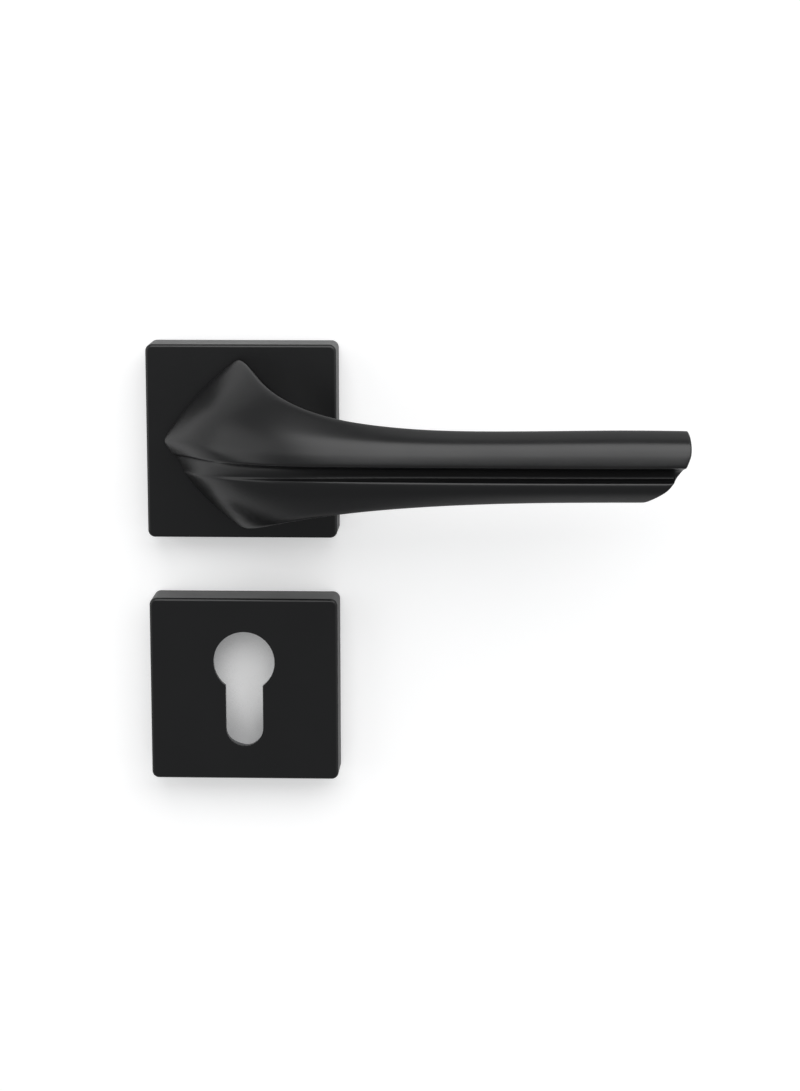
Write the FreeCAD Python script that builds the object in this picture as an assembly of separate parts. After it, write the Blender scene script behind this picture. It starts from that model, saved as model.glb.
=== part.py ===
import FreeCAD, Part
import math
import os

# Lever handle on a square rose, with a separate square escutcheon for a euro profile cylinder.
# Millimetres. X to the right along the lever, Z up, the room side is -Y.
# The origin is on the spindle axis, in the plane of the door's face.

# the two square covers
cover_width = 54.0
rose_height = 55.2
escutcheon_height = 53.0
cover_depth = 12.0
cover_wall = 1.5
cover_corner_radius = 2.0
cover_edge_radius = 0.9
cover_inner_corner_radius = 0.8
escutcheon_drop = 71.8      # escutcheon centre below the spindle axis
neck_hole_radius = 12.05

# the opening for a euro profile cylinder
keyhole_round_radius = 8.8
keyhole_slot_width = 10.7
keyhole_height = 33.5
keyhole_inner_fillet = 1.2
keyhole_lip_radius = 0.4
base_opening_margin = 2.5

# the plates under the covers
gasket_thickness = 0.4
gasket_stud_gap = 1.0
gasket_side_gap = 0.5
plate_corner_radius = 1.0
base_gap = 0.3
base_thickness = 3.0
base_rim_wall = 2.0
base_rim_front = -8.0
stud_pitch = 38.0
stud_radius = 3.6
stud_length = 8.0
bolt_hole_radius = 2.2
wood_screw_offset = 17.5
wood_screw_hole_gap = 0.3
boss_half_width = 4.0
boss_height = 5.0          # from the plate's lower edge
join_overlap = 0.5         # how far fused shapes reach into each other
cut_margin = 1.0           # how far cutting shapes reach past what they cut

# the spring cassette in the rose's base plate
hub_radius = 9.2
hub_front = -6.0
pocket_radius = 14.2
pocket_wall_radius = 15.2
rear_recess_radius = 9.6
rear_recess_floor = -2.6
bush_outer_radius = 8.2
lug_width = 3.0
stop_lug_tip_radius = 12.1
spring_post_tip_radius = 12.9

# the lever's neck and spindle
neck_radius = 10.0
neck_shoulder = -8.1
keyed_radius = 8.0
keyed_flat = 7.0
keyed_rear = -6.2
journal_radius = 7.0
journal_rear = -0.3
running_gap = 0.05
ring_groove_radius = 6.5
ring_groove_front = -1.75
ring_groove_width = 0.9
spindle_side = 8.0
socket_side = 8.1
socket_end = -31.0
spindle_room_end = -30.5
spindle_door_end = 62.0
spindle_chamfer = 0.6
head_base = -16.5
turn_angle = 45.0

# the bearing rings on the neck
washer_radius = 9.0
washer_rear = -1.8
washer_front = -2.25
retaining_ring_radius = 8.8
retaining_ring_rear = -0.9
retaining_ring_front = -1.7
retaining_ring_mouth = 3.2
neck_ring_gap = 0.06
neck_ring_flange_radius = 13.5
neck_ring_flange_rear = -9.7
neck_ring_lip = 0.4        # how far it stands out of the cover
bush_rear = -2.7

# screws
bolt_radius = 2.0
bolt_head_fillet = 1.0
bolt_tip_chamfer = 0.5
bolt_recess_arm = 1.9
bolt_recess_depth = 1.4
bolt_head_radius = 3.5
bolt_head_height = 2.4
bolt_end = 38.0
wood_screw_radius = 1.75
wood_screw_head_radius = 3.4
wood_screw_length = 18.0
wood_screw_point_length = 4.0
wood_screw_point_radius = 0.2
wood_screw_recess_arm = 1.7
wood_screw_recess_depth = 1.2
recess_arm_width = 0.9
lever_grub_radius = 2.0
lever_grub_length = 8.0
lever_grub_y = -23.0
lever_grub_socket = 2.0      # across flats
lever_grub_socket_depth = 3.0
cover_grub_radius = 1.5
cover_grub_length = 5.0
cover_grub_y = -6.2
cover_grub_socket = 1.5
cover_grub_socket_depth = 2.0
cover_grub_inset = 0.4       # its end inside the cover's lower side

# the driver plate and the torsion spring
driver_radius = 13.8
driver_rear = -6.5
driver_front = -8.0
driver_notch_radius = 11.7
stop_gap_angle = 1.3
tab_inner_radius = 11.2
tab_outer_radius = 12.5
tab_rear = -3.8
wire_radius = 0.4
coil_radius = 10.2
coil_rear = -3.9
coil_pitch = 0.85
leg_offset = 2.0
leg_tip_radius = 13.8
spring_turns = 2

# the smooth skin of the lever
skin_degree = 3

# Rails of the lever's skin, one point per section, from the head's flat back to the arm's end.
# Sections 0 and 1 are the square head, turned 45 degrees, close to the rose.
top_rail = [(0.2, 23.8, -16.5), (0.1, 24.7, -18.0), (2.2, 24.3, -21.5), (4.8, 22.2, -28.0),
            (8.6, 18.8, -35.0), (15.2, 15.2, -40.5), (24.2, 12.0, -43.8), (36.0, 9.7, -45.2),
            (55.0, 8.0, -46.0), (80.0, 8.1, -46.0), (105.0, 8.6, -46.0), (128.0, 8.4, -46.0)]
ridge_rail = [(-20.8, 0.6, -16.5), (-22.1, 0.8, -18.0), (-20.4, 1.2, -21.0), (-16.8, 1.9, -27.5),
              (-11.5, 2.3, -35.0), (-4.0, 1.8, -42.2), (7.0, 1.4, -47.8), (24.0, 1.3, -51.1),
              (50.0, 1.4, -52.2), (80.0, 1.5, -52.2), (105.0, 1.5, -52.2), (128.0, 1.5, -52.2)]
crease_rail = [(-18.0, -3.0, -16.5), (-19.0, -3.0, -18.0), (-17.5, -2.6, -20.9),
               (-14.0, -1.9, -27.7), (-9.3, -1.5, -35.4), (-2.5, -1.4, -42.6), (8.0, -1.3, -48.4),
               (25.0, -1.1, -51.6), (50.0, -1.0, -52.6), (80.0, -1.1, -52.6), (105.0, -1.1, -52.6),
               (128.0, -0.9, -52.6)]
rim_rail = [(-15.2, -7.4, -16.5), (-16.2, -7.8, -18.0), (-15.0, -7.7, -20.2), (-12.2, -7.4, -26.2),
            (-7.6, -6.9, -33.4), (-1.0, -6.5, -39.5), (9.0, -6.2, -44.8), (25.5, -5.8, -48.2),
            (50.0, -5.7, -49.4), (80.0, -5.8, -49.4), (105.0, -5.7, -49.4), (128.0, -5.6, -49.4)]
bottom_rail = [(1.4, -22.8, -16.5), (1.4, -24.2, -18.0), (3.0, -23.8, -21.5), (6.0, -22.6, -27.5),
               (10.5, -20.8, -33.5), (16.5, -18.8, -38.5), (25.0, -16.8, -42.0),
               (37.0, -14.9, -44.0), (55.0, -13.1, -45.0), (80.0, -12.0, -45.0),
               (105.0, -11.8, -45.0), (128.0, -11.7, -45.0)]
back_rail = [(21.0, 0.4, -16.5), (22.4, 0.4, -18.0), (22.6, 0.4, -21.0), (23.4, 0.2, -25.0),
             (25.4, 0.0, -29.5), (29.0, -0.2, -33.5), (35.0, -0.6, -37.0), (45.0, -1.0, -39.0),
             (58.0, -1.4, -39.8), (80.0, -1.7, -40.0), (105.0, -1.6, -40.0), (128.0, -1.5, -40.0)]
# how far the skin between two rails stands forward of the straight line, section by section
upper_bulge = [0.0, 0.0, 5.0, 6.0, 4.0, 2.5, 1.8, 1.6, 1.7, 1.8, 1.8, 1.8]
lower_bulge = [0.0, 0.0, 3.6, 4.2, 3.2, 2.4, 1.9, 1.8, 1.8, 1.8, 1.8, 1.8]
# how far it bows outward in the plane of the door
upper_bow = [2.6, 2.6, 0.4, 0.0, 0.2, 0.3, 0.4, 0.5, 0.6, 0.6, 0.6, 0.6]
lower_bow = [1.7, 1.7, 0.6, 0.0, 0.0, 0.0, 0.0, 0.0, 0.0, 0.0, 0.0, 0.0]
hidden_hollow = [1.4, 1.4, 1.2, 0.8, 0.4, 0.0, 0.0, 0.0, 0.0, 0.0, 0.0, 0.0]
# 0 where the section is the square head, 1 where it is the round-backed arm
arm_share = [0.0, 0.0, 0.1, 0.2, 0.35, 0.5, 0.7, 0.85, 1.0, 1.0, 1.0, 1.0]
groove_depth = [0.5, 0.5, 0.5, 0.6, 0.8, 1.1, 1.6, 2.4, 3.2, 3.6, 3.6, 3.6]
arm_tip = [(117.0, 14.0), (121.9, 9.6), (123.6, 8.6), (124.6, 7.0), (124.8, 4.0), (124.2, 0.6),
           (121.6, -3.9), (118.4, -8.2), (114.5, -10.9), (109.0, -13.2), (104.0, -16.0)]


def vec(x, y, z):
    return FreeCAD.Vector(x, y, z)


to_right = vec(1, 0, 0)
toward_door = vec(0, 1, 0)
upward = vec(0, 0, 1)


def rod(x, z, radius, y_rear, y_front):
    """A round bar along Y between two planes, the rear one nearer the door."""
    return Part.makeCylinder(radius, y_rear - y_front, vec(x, y_front, z), toward_door)


def block(x_low, x_high, y_front, y_rear, z_low, z_high):
    return Part.makeBox(x_high - x_low, y_rear - y_front, z_high - z_low, vec(x_low, y_front, z_low))


def is_along(edge, direction):
    if not isinstance(edge.Curve, Part.Line):
        return False
    return abs(edge.Curve.Direction.dot(direction)) > 0.999


def slab(width, height, y_front, y_rear, z_centre, corner_radius):
    """A plate parallel to the door with rounded corners."""
    shape = block(-width / 2, width / 2, y_front, y_rear, z_centre - height / 2, z_centre + height / 2)
    corners = [edge for edge in shape.Edges if is_along(edge, toward_door)]
    return shape.makeFillet(corner_radius, corners)


def bore(radius, y_rear, y_front):
    """A round cutter on the spindle axis that reaches past both planes."""
    return rod(0, 0, radius, y_rear + cut_margin, y_front - cut_margin)


def ring(outer_radius, inner_radius, y_rear, y_front):
    return rod(0, 0, outer_radius, y_rear, y_front).cut(bore(inner_radius, y_rear, y_front))


def sector(inner_radius, outer_radius, start_angle, end_angle, y_rear, y_front):
    """Part of a ring about the spindle axis. Angles run from +X towards +Z."""
    centre = vec(0, 0, 0)
    thickness = y_rear - y_front
    wedge = Part.makeCylinder(outer_radius, thickness, centre, upward, end_angle - start_angle)
    wedge.rotate(centre, to_right, 90)
    wedge.rotate(centre, toward_door, -start_angle)
    wedge.translate(vec(0, y_rear, 0))
    return wedge.cut(bore(inner_radius, y_rear, y_front))


def keyhole(margin, y_front, y_rear):
    """The euro profile outline grown by a margin, as a solid to cut with."""
    round_radius = keyhole_round_radius + margin
    half_slot = keyhole_slot_width / 2 + margin
    top = -escutcheon_drop + keyhole_height / 2 + margin
    bottom = -escutcheon_drop - keyhole_height / 2 - margin
    round_z = top - round_radius
    shape = rod(0, round_z, round_radius, y_rear, y_front)
    shape = shape.fuse(block(-half_slot, half_slot, y_front, y_rear, bottom + half_slot, round_z))
    shape = shape.fuse(rod(0, bottom + half_slot, half_slot, y_rear, y_front)).removeSplitter()
    junction_z = round_z - math.sqrt(round_radius ** 2 - half_slot ** 2)
    junctions = []
    for edge in shape.Edges:
        start = edge.Vertexes[0].Point
        if is_along(edge, toward_door) and abs(start.z - junction_z) < 0.1:
            junctions.append(edge)
    return shape.makeFillet(keyhole_inner_fillet, junctions)


def hollow_cover(height, z_centre):
    shape = slab(cover_width, height, -cover_depth, 0, z_centre, cover_corner_radius)
    front_edges = []
    for edge in shape.Edges:
        if all(abs(vertex.Point.y + cover_depth) < 0.01 for vertex in edge.Vertexes):
            front_edges.append(edge)
    shape = shape.makeFillet(cover_edge_radius, front_edges)
    inner_width = cover_width - 2 * cover_wall
    inner_height = height - 2 * cover_wall
    hollow = slab(inner_width, inner_height, cover_wall - cover_depth, cut_margin, z_centre,
                  cover_inner_corner_radius)
    hole_start = vec(0, cover_grub_y, z_centre - height / 2 - cut_margin)
    grub_hole = Part.makeCylinder(cover_grub_radius + 0.1, cover_wall + 2 * cut_margin, hole_start, upward)
    return shape.cut(hollow).cut(grub_hole)


def base_plate(height, z_centre):
    """The plate that is bolted to the door: a floor, a rim, two support studs and the screw holes."""
    width = cover_width - 2 * cover_wall - 2 * base_gap
    height = height - 2 * cover_wall - 2 * base_gap
    floor_front = -gasket_thickness - base_thickness
    shape = slab(width, height, base_rim_front, -gasket_thickness, z_centre, plate_corner_radius)
    tray_width = width - 2 * base_rim_wall
    tray_height = height - 2 * base_rim_wall
    shape = shape.cut(slab(tray_width, tray_height, base_rim_front - cut_margin, floor_front, z_centre,
                           plate_corner_radius))
    rim_bottom = z_centre - height / 2
    boss_top = rim_bottom + boss_height
    boss = block(-boss_half_width, boss_half_width, base_rim_front, floor_front,
                 rim_bottom + base_rim_wall, boss_top)
    shape = shape.fuse(boss)
    hole_start = vec(0, cover_grub_y, rim_bottom - cut_margin)
    grub_hole = Part.makeCylinder(
        cover_grub_radius + running_gap, boss_height + 2 * cut_margin, hole_start, upward)
    shape = shape.cut(grub_hole)
    for side in (-1, 1):
        x = side * stud_pitch / 2
        shape = shape.fuse(rod(x, z_centre, stud_radius, stud_length, -gasket_thickness))
        shape = shape.cut(rod(x, z_centre, bolt_hole_radius, stud_length + cut_margin,
                              floor_front - cut_margin))
        screw_x = side * wood_screw_offset
        screw_z = z_centre - side * wood_screw_offset
        shape = shape.cut(rod(screw_x, screw_z, wood_screw_radius + wood_screw_hole_gap, cut_margin,
                              floor_front - cut_margin))
        shape = shape.cut(screw_head_cone(screw_x, screw_z, floor_front, 0.15))
    return shape


def screw_head_cone(x, z, y_front, gap):
    """A countersunk head, 90 degrees, widest at its front."""
    depth = wood_screw_head_radius - wood_screw_radius
    return Part.makeCone(
        wood_screw_head_radius + gap, wood_screw_radius + gap, depth, vec(x, y_front, z), toward_door)


def cross_recess(x, z, y_front, arm_length, depth):
    """A cross-shaped pocket in a screw head."""
    half = recess_arm_width / 2
    start = y_front - cut_margin
    end = y_front + depth
    flat = block(x - arm_length, x + arm_length, start, end, z - half, z + half)
    upright = block(x - half, x + half, start, end, z - arm_length, z + arm_length)
    return flat.fuse(upright)


def gasket(height, z_centre):
    inset = 2 * (cover_wall + gasket_side_gap)
    shape = slab(cover_width - inset, height - inset, -gasket_thickness, 0, z_centre, plate_corner_radius)
    stud_hole_radius = stud_radius + gasket_stud_gap
    screw_hole_radius = wood_screw_radius + wood_screw_hole_gap
    for side in (-1, 1):
        screw_z = z_centre - side * wood_screw_offset
        shape = shape.cut(rod(side * stud_pitch / 2, z_centre, stud_hole_radius, cut_margin, -cut_margin))
        shape = shape.cut(rod(side * wood_screw_offset, screw_z, screw_hole_radius, cut_margin, -cut_margin))
    return shape


def fixing_bolts(z_centre):
    """Two M4 pan-head bolts that go through the door."""
    head_rear = -gasket_thickness - base_thickness
    head_front = head_rear - bolt_head_height
    solids = []
    for side in (-1, 1):
        x = side * stud_pitch / 2
        head = rod(x, z_centre, bolt_head_radius, head_rear, head_front)
        rim = [edge for edge in head.Edges if abs(edge.CenterOfMass.y - head_front) < 0.01]
        head = head.makeFillet(bolt_head_fillet, rim)
        shank = rod(x, z_centre, bolt_radius, bolt_end, head_rear - join_overlap)
        tip = [edge for edge in shank.Edges if abs(edge.CenterOfMass.y - bolt_end) < 0.01]
        shank = shank.makeChamfer(bolt_tip_chamfer, tip)
        recess = cross_recess(x, z_centre, head_front, bolt_recess_arm, bolt_recess_depth)
        solids.append(head.fuse(shank).cut(recess))
    return Part.makeCompound(solids)


def wood_screws(z_centre):
    """Two countersunk wood screws on the diagonal."""
    head_front = -gasket_thickness - base_thickness
    head_depth = wood_screw_head_radius - wood_screw_radius
    shank_end = head_front + wood_screw_length - wood_screw_point_length
    solids = []
    for side in (-1, 1):
        x = side * wood_screw_offset
        z = z_centre - side * wood_screw_offset
        shape = screw_head_cone(x, z, head_front, 0)
        shape = shape.fuse(rod(x, z, wood_screw_radius, shank_end, head_front + head_depth - 0.2))
        point = Part.makeCone(wood_screw_radius, wood_screw_point_radius, wood_screw_point_length,
                              vec(x, shank_end, z), toward_door)
        recess = cross_recess(x, z, head_front, wood_screw_recess_arm, wood_screw_recess_depth)
        solids.append(shape.fuse(point).cut(recess))
    return Part.makeCompound(solids)


def cover_grub_screw(height, z_centre):
    start = vec(0, cover_grub_y, z_centre - height / 2 + cover_grub_inset)
    shape = Part.makeCylinder(cover_grub_radius, cover_grub_length, start, upward)
    socket_length = cover_grub_socket_depth + cut_margin
    return shape.cut(hex_socket(start - upward * cut_margin, upward, cover_grub_socket, socket_length))


def hex_socket(start, direction, across_flats, length):
    """A six-sided pocket that begins outside the screw."""
    radius = across_flats / math.sqrt(3)
    first = direction.cross(toward_door).normalize()
    second = direction.cross(first).normalize()
    points = []
    for corner in range(7):
        angle = math.radians(60 * corner)
        points.append(start + first * (radius * math.cos(angle)) + second * (radius * math.sin(angle)))
    return Part.Face(Part.makePolygon(points)).extrude(direction * length)


def rose_base():
    shape = base_plate(rose_height, 0)
    floor_front = -gasket_thickness - base_thickness
    rear = floor_front + join_overlap
    shape = shape.fuse(ring(pocket_wall_radius, pocket_radius, rear, base_rim_front))
    shape = shape.fuse(rod(0, 0, hub_radius, rear, hub_front))
    half_angle = math.degrees(math.asin(lug_width / 2 / pocket_radius))
    outer_radius = pocket_radius + join_overlap
    post = sector(spring_post_tip_radius, outer_radius, 90 - half_angle, 90 + half_angle, rear, hub_front)
    lug = sector(stop_lug_tip_radius, outer_radius, -90 - half_angle, -90 + half_angle, rear, base_rim_front)
    shape = shape.fuse(post).fuse(lug)
    shape = shape.cut(bore(bush_outer_radius + running_gap, 0, base_rim_front))
    return shape.cut(rod(0, 0, rear_recess_radius, cut_margin, rear_recess_floor))


def escutcheon_base():
    shape = base_plate(escutcheon_height, -escutcheon_drop)
    return shape.cut(keyhole(base_opening_margin, base_rim_front - cut_margin, cut_margin))


def escutcheon_cover():
    shape = hollow_cover(escutcheon_height, -escutcheon_drop)
    shape = shape.cut(keyhole(0, -cover_depth - cut_margin, cover_wall - cover_depth + cut_margin))
    lip = []
    for edge in shape.Edges:
        flat = all(abs(vertex.Point.y + cover_depth) < 0.01 for vertex in edge.Vertexes)
        box = edge.BoundBox
        inside = max(abs(box.XMin), abs(box.XMax)) < cover_width / 2 - 5
        if flat and inside:
            lip.append(edge)
    return shape.makeFillet(keyhole_lip_radius, lip)


def rose_cover():
    shape = hollow_cover(rose_height, 0)
    return shape.cut(bore(neck_hole_radius, cover_wall - cover_depth, -cover_depth))


def between(first, second, share):
    return first + (second - first) * share


def section(index):
    """The control points of one section of the lever's skin, in order round it."""
    rails = (top_rail, ridge_rail, crease_rail, rim_rail, bottom_rail, back_rail)
    top, ridge, crease, rim, bottom, back = [vec(r[index][0], r[index][2], r[index][1]) for r in rails]
    arm = arm_share[index]
    head = 1 - arm
    up = upper_bulge[index]
    low = lower_bulge[index]
    depth = groove_depth[index]
    groove_turn = min(1, 3 * arm)
    inward = vec(0.73 * (1 - groove_turn), groove_turn, 0.68 * (1 - groove_turn)).normalize()
    upper_out = vec(-0.7 * head, 0, 0.7 * head + arm) * upper_bow[index]
    lower_out = vec(-0.7, 0, -0.7) * lower_bow[index]
    hollow = vec(-0.7, 0, -0.7) * hidden_hollow[index]
    corner = 0.07 + 0.07 * arm
    swell = 4 * corner * (1 - corner)
    front_swell = swell * (head + 0.6 * arm)
    edge = 0.05 + 0.07 * arm
    edge_swell = 4 * edge * (1 - edge)
    points = [top]
    points.append(between(top, ridge, corner) + vec(0, -swell * up, 0) + upper_out * swell)
    points.append(between(top, ridge, 0.50) + vec(0, -up, 0) + upper_out)
    points.append(between(top, ridge, 1 - corner) + vec(0, -front_swell * up, 0) + upper_out * swell)
    points.append(ridge)
    points.append(between(ridge, crease, 0.75) + vec(0, -0.1 * arm, 0))
    points.append(crease)
    points.append(between(crease, rim, 0.07) + inward * min(depth, 0.5))
    points.append(between(crease, rim, 0.22) + inward * depth)
    points.append(between(crease, rim, 0.55) + inward * (depth * 1.05))
    points.append(between(crease, rim, 0.84) + inward * (depth * 0.9))
    points.append(between(crease, rim, 0.96) + inward * min(depth, 0.4))
    points.append(rim)
    points.append(between(rim, bottom, edge) + vec(0, -edge_swell * low, 0) + lower_out * edge_swell)
    points.append(between(rim, bottom, 0.42) + vec(0, -low, 0) + lower_out)
    points.append(between(rim, bottom, 0.90 - 0.06 * arm) + vec(0, -0.45 * low, 0) + lower_out * 0.5)
    points.append(bottom)
    points.append(between(bottom, back, corner) + vec(0, 0.3 * arm, -0.9 * arm))
    points.append(between(bottom, back, 0.50) + vec(0, 1.4 * arm, -1.7 * arm))
    points.append(between(bottom, back, 0.84) + vec(0, 0.7 * arm, -0.7 * arm))
    points.append(back)
    points.append(between(back, top, 0.16) + vec(0, 0.7 * arm, 0.7 * arm))
    points.append(between(back, top, 0.50) + vec(0, 1.4 * arm, 1.7 * arm) + hollow * 0.5)
    points.append(between(back, top, 1 - corner) + vec(0, 0.3 * arm, 0.9 * arm) + hollow * 0.6)
    return points


def lever_skin():
    """The head and arm as one solid: a cubic surface through the sections, closed at both ends."""
    sections = [section(index) for index in range(len(top_rail))]
    round_count = len(sections[0])
    along_count = len(sections)
    along_knots = list(range(along_count - 2))
    end_mult = skin_degree + 1
    along_mults = [end_mult] + [1] * (len(along_knots) - 2) + [end_mult]
    round_knots = list(range(round_count + 1))
    surface = Part.BSplineSurface()
    surface.buildFromPolesMultsKnots(
        sections, along_mults, [1] * len(round_knots), along_knots, round_knots,
        False, True, skin_degree, skin_degree)
    side = surface.toShape()
    caps = []
    for knot in (along_knots[0], along_knots[-1]):
        caps.append(Part.Face(Part.Wire([surface.uIso(knot).toShape()])))
    shell = Part.makeShell([side] + caps)
    shell.sewShape()
    solid = Part.makeSolid(shell)
    if solid.Volume < 0:
        solid.reverse()
    return solid


def tip_cutter():
    """Everything beyond the slanted end of the arm."""
    y_plane = -70.0
    outline = Part.BSplineCurve()
    outline.interpolate([vec(x, y_plane, z) for x, z in arm_tip])
    start = vec(arm_tip[0][0], y_plane, arm_tip[0][1])
    end = vec(arm_tip[-1][0], y_plane, arm_tip[-1][1])
    far_low = vec(140, y_plane, arm_tip[-1][1])
    far_high = vec(140, y_plane, arm_tip[0][1])
    frame = Part.makePolygon([end, far_low, far_high, start])
    wire = Part.Wire([outline.toShape()] + frame.Edges)
    return Part.Face(wire).extrude(vec(0, 50, 0))


def lever_handle():
    body = lever_skin().cut(tip_cutter())
    neck = rod(0, 0, neck_radius, neck_shoulder, head_base - 8 * join_overlap)
    keyed = rod(0, 0, keyed_radius, keyed_rear, neck_shoulder - join_overlap)
    keyed = keyed.common(block(-keyed_flat, keyed_flat, neck_shoulder - cut_margin,
                               keyed_rear + cut_margin, -keyed_radius, keyed_radius))
    journal = rod(0, 0, journal_radius, journal_rear, keyed_rear - join_overlap)
    groove_rear = ring_groove_front + ring_groove_width
    groove = ring(journal_radius + cut_margin, ring_groove_radius, groove_rear, ring_groove_front)
    half = socket_side / 2
    socket = block(-half, half, socket_end, cut_margin, -half, half)
    hole_start = vec(half - join_overlap, lever_grub_y, 0)
    grub_hole = Part.makeCylinder(lever_grub_radius + running_gap, cover_width, hole_start, to_right)
    shape = body.fuse(neck).fuse(keyed).fuse(journal)
    return shape.cut(groove).cut(socket).cut(grub_hole)


def spindle():
    half = spindle_side / 2
    bar = block(-half, half, spindle_room_end, spindle_door_end, -half, half)
    ends = [edge for edge in bar.Edges if not is_along(edge, toward_door)]
    return bar.makeChamfer(spindle_chamfer, ends)


def lever_grub_screw():
    start = vec(spindle_side / 2 + 0.02, lever_grub_y, 0)
    shape = Part.makeCylinder(lever_grub_radius, lever_grub_length, start, to_right)
    socket_start = start + to_right * (lever_grub_length - lever_grub_socket_depth)
    socket_length = lever_grub_socket_depth + cut_margin
    return shape.cut(hex_socket(socket_start, to_right, lever_grub_socket, socket_length))


def driver_plate():
    """The disc keyed to the neck. Its tab pushes the spring and its notch meets the stop lug."""
    shape = rod(0, 0, driver_radius, driver_rear, driver_front)
    lug_half = math.degrees(math.asin(lug_width / 2 / pocket_radius))
    notch_start = -90 - lug_half - stop_gap_angle
    notch_end = -90 + turn_angle + lug_half + stop_gap_angle
    shape = shape.cut(sector(driver_notch_radius, driver_radius + cut_margin, notch_start, notch_end,
                             driver_rear + cut_margin, driver_front - cut_margin))
    tab_half = math.degrees(math.asin(lug_width / 2 / tab_outer_radius))
    shape = shape.fuse(sector(tab_inner_radius, tab_outer_radius, 90 - tab_half, 90 + tab_half,
                              tab_rear, driver_rear - join_overlap))
    flat = keyed_flat + running_gap
    hole = bore(keyed_radius + running_gap, driver_rear, driver_front)
    across = block(-flat, flat, driver_front - 2 * cut_margin, driver_rear + 2 * cut_margin,
                   -driver_radius, driver_radius)
    return shape.cut(hole.common(across))


def return_spring():
    """A torsion spring with two straight legs, one each side of the post and the tab."""
    leg_angle = math.asin(leg_offset / coil_radius)
    turns = spring_turns + leg_angle / math.pi
    helix = Part.makeHelix(coil_pitch, coil_pitch * turns, coil_radius)
    start_section = Part.Wire([Part.makeCircle(wire_radius, vec(coil_radius, 0, 0), toward_door)])
    shape = Part.Wire(helix.Edges).makePipeShell([start_section], True, True)
    centre = vec(0, 0, 0)
    shape.rotate(centre, to_right, 90)
    shape.rotate(centre, toward_door, math.degrees(leg_angle) - 90)
    shape.translate(vec(0, coil_rear, 0))
    leg_z = math.sqrt(coil_radius ** 2 - leg_offset ** 2)
    for x, y in ((leg_offset, coil_rear), (-leg_offset, coil_rear - coil_pitch * turns)):
        leg = Part.makeCylinder(wire_radius, leg_tip_radius - leg_z, vec(x, y, leg_z), upward)
        shape = shape.fuse(leg)
    return shape


def thrust_washer():
    return ring(washer_radius, journal_radius + running_gap, washer_rear, washer_front)


def retaining_ring():
    shape = ring(retaining_ring_radius, ring_groove_radius + running_gap, retaining_ring_rear,
                 retaining_ring_front)
    half_mouth = retaining_ring_mouth / 2
    mouth = block(-half_mouth, half_mouth, retaining_ring_front - cut_margin, 0,
                  -retaining_ring_radius - cut_margin, 0)
    return shape.cut(mouth)


def neck_ring():
    """The nylon ring that guides the neck in the cover's hole."""
    inner_radius = neck_radius + neck_ring_gap
    sleeve = ring(neck_hole_radius - running_gap, inner_radius, neck_ring_flange_rear,
                  -cover_depth - neck_ring_lip)
    flange = ring(neck_ring_flange_radius, inner_radius, neck_ring_flange_rear, cover_wall - cover_depth)
    return sleeve.fuse(flange)


def bearing_bush():
    return ring(bush_outer_radius, journal_radius + running_gap, bush_rear, hub_front - 0.1)


rose_gasket = gasket(rose_height, 0).cut(bore(rear_recess_radius + 1, 0, 0))
escutcheon_opening = keyhole(base_opening_margin, -cut_margin, cut_margin)
escutcheon_gasket = gasket(escutcheon_height, -escutcheon_drop).cut(escutcheon_opening)
nodes = {
    "lever_handle": lever_handle(),
    "spindle": spindle(),
    "lever_grub_screw": lever_grub_screw(),
    "driver_plate": driver_plate(),
    "return_spring": return_spring(),
    "bearing_bush": bearing_bush(),
    "neck_ring": neck_ring(),
    "thrust_washer": thrust_washer(),
    "retaining_ring": retaining_ring(),
    "rose_cover": rose_cover(),
    "rose_base": rose_base(),
    "rose_gasket": rose_gasket,
    "rose_fixing_bolts": fixing_bolts(0),
    "rose_wood_screws": wood_screws(0),
    "rose_cover_grub_screw": cover_grub_screw(rose_height, 0),
    "escutcheon_cover": escutcheon_cover(),
    "escutcheon_base": escutcheon_base(),
    "escutcheon_gasket": escutcheon_gasket,
    "escutcheon_fixing_bolts": fixing_bolts(-escutcheon_drop),
    "escutcheon_wood_screws": wood_screws(-escutcheon_drop),
    "escutcheon_cover_grub_screw": cover_grub_screw(escutcheon_height, -escutcheon_drop),
}

os.makedirs("parts", exist_ok=True)
for name, shape in nodes.items():
    shape.exportStep("parts/" + name + ".step")
    box = shape.BoundBox
    print(name, len(shape.Solids), shape.isValid(), round(shape.Volume, 1),
          [round(v, 2) for v in (box.XMin, box.XMax, box.YMin, box.YMax, box.ZMin, box.ZMax)])
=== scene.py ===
import bpy
import bmesh
import math
from mathutils import Matrix, Vector


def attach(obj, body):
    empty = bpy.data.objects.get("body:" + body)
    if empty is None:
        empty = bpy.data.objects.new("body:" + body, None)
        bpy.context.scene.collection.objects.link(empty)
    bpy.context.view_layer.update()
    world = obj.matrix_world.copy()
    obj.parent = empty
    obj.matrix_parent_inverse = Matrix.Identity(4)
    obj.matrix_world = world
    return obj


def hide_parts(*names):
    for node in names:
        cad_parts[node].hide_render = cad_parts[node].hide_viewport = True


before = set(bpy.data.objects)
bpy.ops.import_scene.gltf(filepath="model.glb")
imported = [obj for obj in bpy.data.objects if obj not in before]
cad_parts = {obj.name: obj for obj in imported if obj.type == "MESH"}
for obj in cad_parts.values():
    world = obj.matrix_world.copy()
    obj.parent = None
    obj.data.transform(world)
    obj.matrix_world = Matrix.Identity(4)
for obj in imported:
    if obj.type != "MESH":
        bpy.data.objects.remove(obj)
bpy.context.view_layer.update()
scene = bpy.context.scene
scene.view_settings.view_transform = "Standard"
mm = 0.001
mergeDistance = 1e-6
quarterTurn = math.pi / 2
print("frame loaded:", len(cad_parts), "nodes")

# small helpers, used by every piece

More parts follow.
